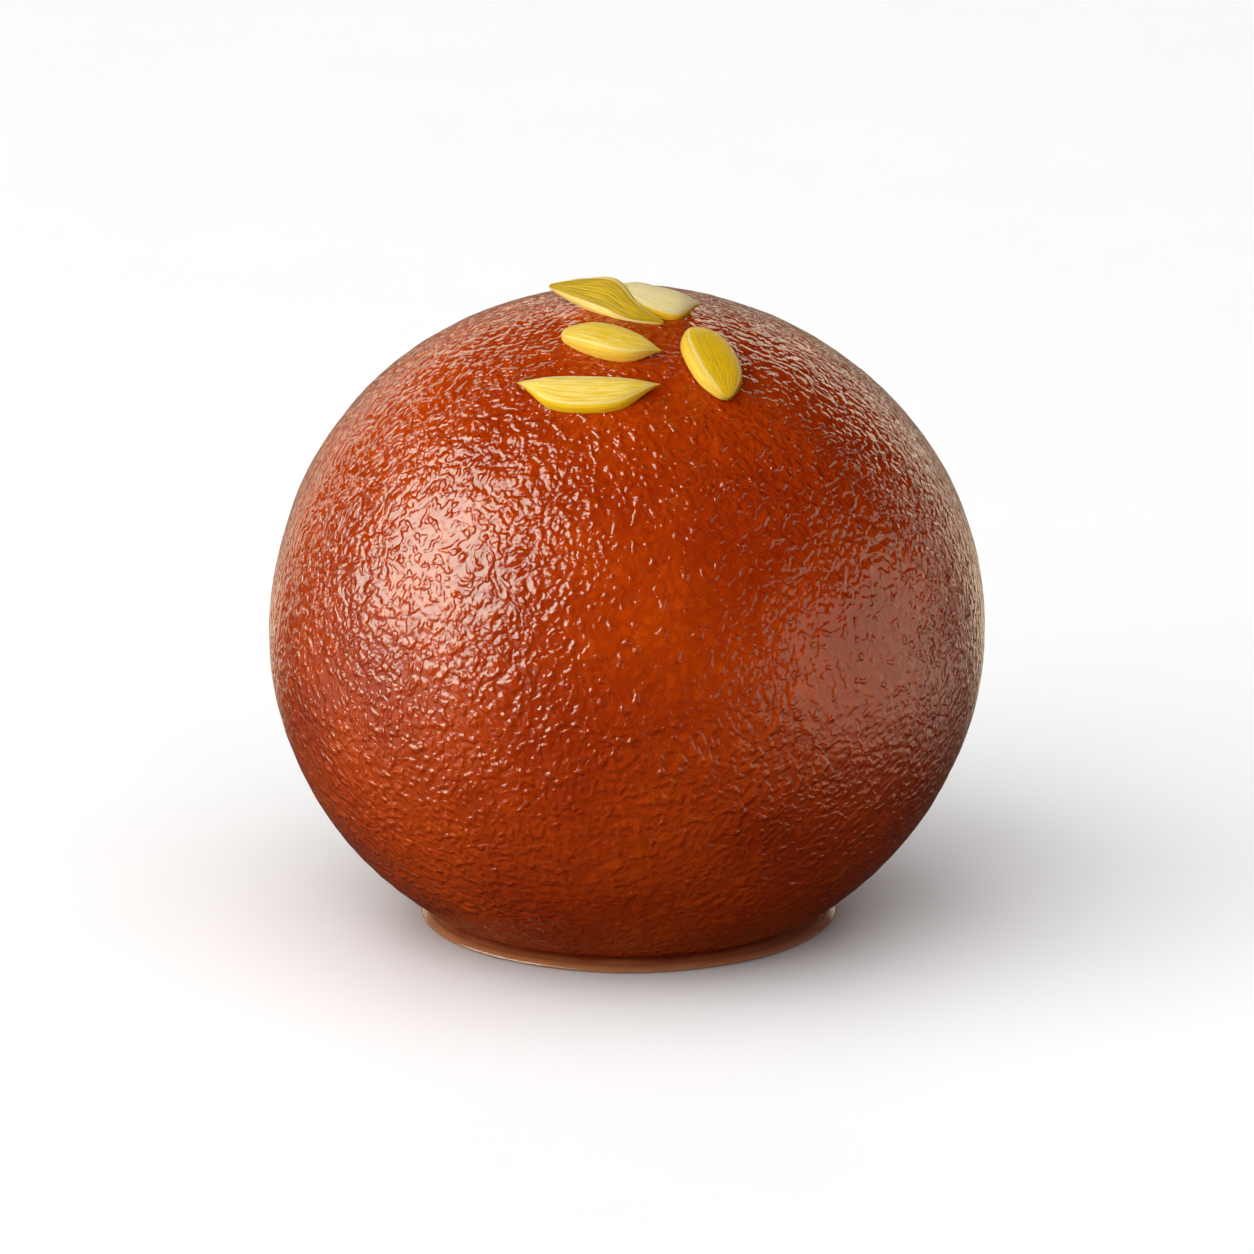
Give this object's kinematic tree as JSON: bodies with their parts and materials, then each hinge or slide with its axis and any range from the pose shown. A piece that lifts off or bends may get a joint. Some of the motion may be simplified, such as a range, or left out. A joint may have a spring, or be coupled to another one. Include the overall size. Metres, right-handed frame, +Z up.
{
  "type": "gulab jamun",
  "caption": "Round syrup-glazed milk-dough sweet, settled onto a small flat spot, with slivers of pistachio stuck to its crown.",
  "frame": {"origin": "middle of the flat spot that the sweet rests on, under the middle of the ball", "axes": "+Z up through the crown, +X to the sweet's right as seen from its front, +Y to its back; the slivers lie from the crown towards the front"},
  "size_m": [0.048, 0.0474, 0.0445],
  "materials": {
    "dough": "gloss",
    "pistachio": "satin",
    "syrup": "gloss"
  },
  "bodies": {
    "root": {"gulab_jamun": "dough"}
  },
  "joints": []
}
